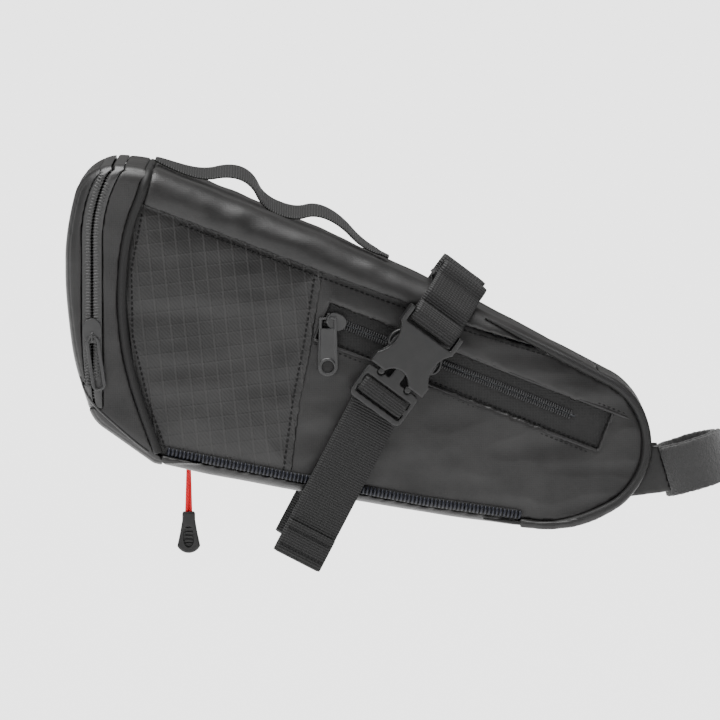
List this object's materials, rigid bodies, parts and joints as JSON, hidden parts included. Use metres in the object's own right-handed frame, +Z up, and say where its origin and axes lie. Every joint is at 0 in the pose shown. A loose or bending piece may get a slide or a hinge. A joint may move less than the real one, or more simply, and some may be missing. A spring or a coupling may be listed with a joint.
{
  "type": "saddle bag",
  "caption": "Wedge saddle bag with a zipped rear lid, side pocket, expander zip, buckled rail straps and a hook-and-loop seatpost strap.",
  "frame": {"origin": "centre of the seatpost strap, on the seatpost axis", "axes": "+X towards the nose of the bag (forward on the bicycle), +Y to the left of the bicycle, +Z up"},
  "size_m": [0.3261, 0.1065, 0.1983],
  "materials": {
    "tarpaulin": "satin",
    "ripstop": "satin",
    "piping": "satin",
    "zip_tape": "matte",
    "zip_coil": "satin",
    "slider_metal": "satin",
    "lining": "matte",
    "foam_board": "matte",
    "buckle_plastic": "satin",
    "webbing": "matte",
    "hook_and_loop": "matte",
    "cord": "satin",
    "grip_rubber": "matte"
  },
  "bodies": {
    "bag": {"bottom_board": "foam_board", "bottom_panel": "tarpaulin", "buckle_female_left": "buckle_plastic", "buckle_female_right": "buckle_plastic", "buckle_male_left": "buckle_plastic", "buckle_male_right": "buckle_plastic", "daisy_webbing": "webbing", "expander_coil_left": "zip_coil", "expander_coil_right": "zip_coil", "expander_zip_tape_left": "zip_tape", "expander_zip_tape_right": "zip_tape", "main_zip_body_half": "zip_tape", "nose_gusset": "tarpaulin", "nose_piping_left": "piping", "nose_piping_right": "piping", "pocket_coil": "zip_coil", "pocket_lining": "lining", "pocket_zip_tape": "zip_tape", "rail_strap_anchor": "webbing", "rail_strap_left": "webbing", "rail_strap_right": "webbing", "rear_gusset": "tarpaulin", "rear_piping": "piping", "seatpost_anchor": "webbing", "seatpost_strap": "hook_and_loop", "side_panel_front_left": "tarpaulin", "side_panel_front_right": "tarpaulin", "side_panel_rear_left": "ripstop", "side_panel_rear_right": "ripstop", "sling_strap": "webbing", "top_panel": "tarpaulin"},
    "lid": {"lid_panel": "tarpaulin", "main_zip_lid_half": "zip_tape", "lid_board": "foam_board", "lid_mesh_pocket": "lining"},
    "main_slider": {"main_slider": "slider_metal"},
    "main_puller": {"main_puller": "slider_metal"},
    "pocket_slider": {"pocket_slider": "slider_metal"},
    "pocket_puller": {"pocket_puller": "slider_metal"},
    "expander_slider": {"expander_slider": "slider_metal", "pull_cord": "cord", "cord_grip": "grip_rubber"},
    "prong_front_right": {"prong_front_right": "buckle_plastic"},
    "prong_back_right": {"prong_back_right": "buckle_plastic"},
    "prong_front_left": {"prong_front_left": "buckle_plastic"},
    "prong_back_left": {"prong_back_left": "buckle_plastic"},
    "seatpost_flap": {"seatpost_flap": "hook_and_loop"}
  },
  "joints": [
    {"name": "lid_hinge", "type": "hinge", "parent": "bag", "child": "lid", "pos_m": [-0.294, 0, 0.0308], "axis": [0, -1, 0], "range_deg": [0, 110]},
    {"name": "main_slider_travel", "type": "slide", "parent": "bag", "child": "main_slider", "axis": [0, 0, 1], "range_m": [-0.012, 0.036]},
    {"name": "main_puller_lift", "type": "hinge", "parent": "main_slider", "child": "main_puller", "pos_m": [-0.2915, -0.05255, 0.0656], "axis": [-0.9903, 0, -0.1392], "range_deg": [0, 100]},
    {"name": "pocket_slider_travel", "type": "slide", "parent": "bag", "child": "pocket_slider", "axis": [0.9222, 0.0959, -0.3746], "range_m": [0, 0.112]},
    {"name": "pocket_puller_lift", "type": "hinge", "parent": "pocket_slider", "child": "pocket_puller", "pos_m": [-0.17758, -0.03833, 0.07357], "axis": [-0.9946, -0.1034, 0], "range_deg": [0, 85]},
    {"name": "expander_slider_travel", "type": "slide", "parent": "bag", "child": "expander_slider", "axis": [0.9735, -0.1012, -0.2052], "range_m": [0, 0.038]},
    {"name": "prong_front_right_squeeze", "type": "hinge", "parent": "bag", "child": "prong_front_right", "pos_m": [-0.13902, -0.04196, 0.03902], "axis": [0.1034, -0.9946, 0], "range_deg": [0, 9], "stiffness_Nm_per_rad": 0.5},
    {"name": "prong_back_right_squeeze", "type": "hinge", "parent": "bag", "child": "prong_back_right", "pos_m": [-0.15182, -0.04329, 0.04854], "axis": [0.1034, -0.9946, 0], "range_deg": [-9, 0], "stiffness_Nm_per_rad": 0.5},
    {"name": "prong_front_left_squeeze", "type": "hinge", "parent": "bag", "child": "prong_front_left", "pos_m": [-0.13902, 0.04196, 0.03902], "axis": [-0.1034, -0.9946, 0], "range_deg": [0, 9], "stiffness_Nm_per_rad": 0.5},
    {"name": "prong_back_left_squeeze", "type": "hinge", "parent": "bag", "child": "prong_back_left", "pos_m": [-0.15182, 0.04329, 0.04854], "axis": [-0.1034, -0.9946, 0], "range_deg": [-9, 0], "stiffness_Nm_per_rad": 0.5},
    {"name": "seatpost_flap_peel", "type": "hinge", "parent": "bag", "child": "seatpost_flap", "pos_m": [-0.01193, -0.01245, -0.00353], "axis": [-0.284, 0, 0.9588], "range_deg": [-74, 0]}
  ],
  "couplings": [
    {"joint": "prong_back_right_squeeze", "follows": "prong_front_right_squeeze", "ratio": -1},
    {"joint": "prong_back_left_squeeze", "follows": "prong_front_left_squeeze", "ratio": -1}
  ]
}
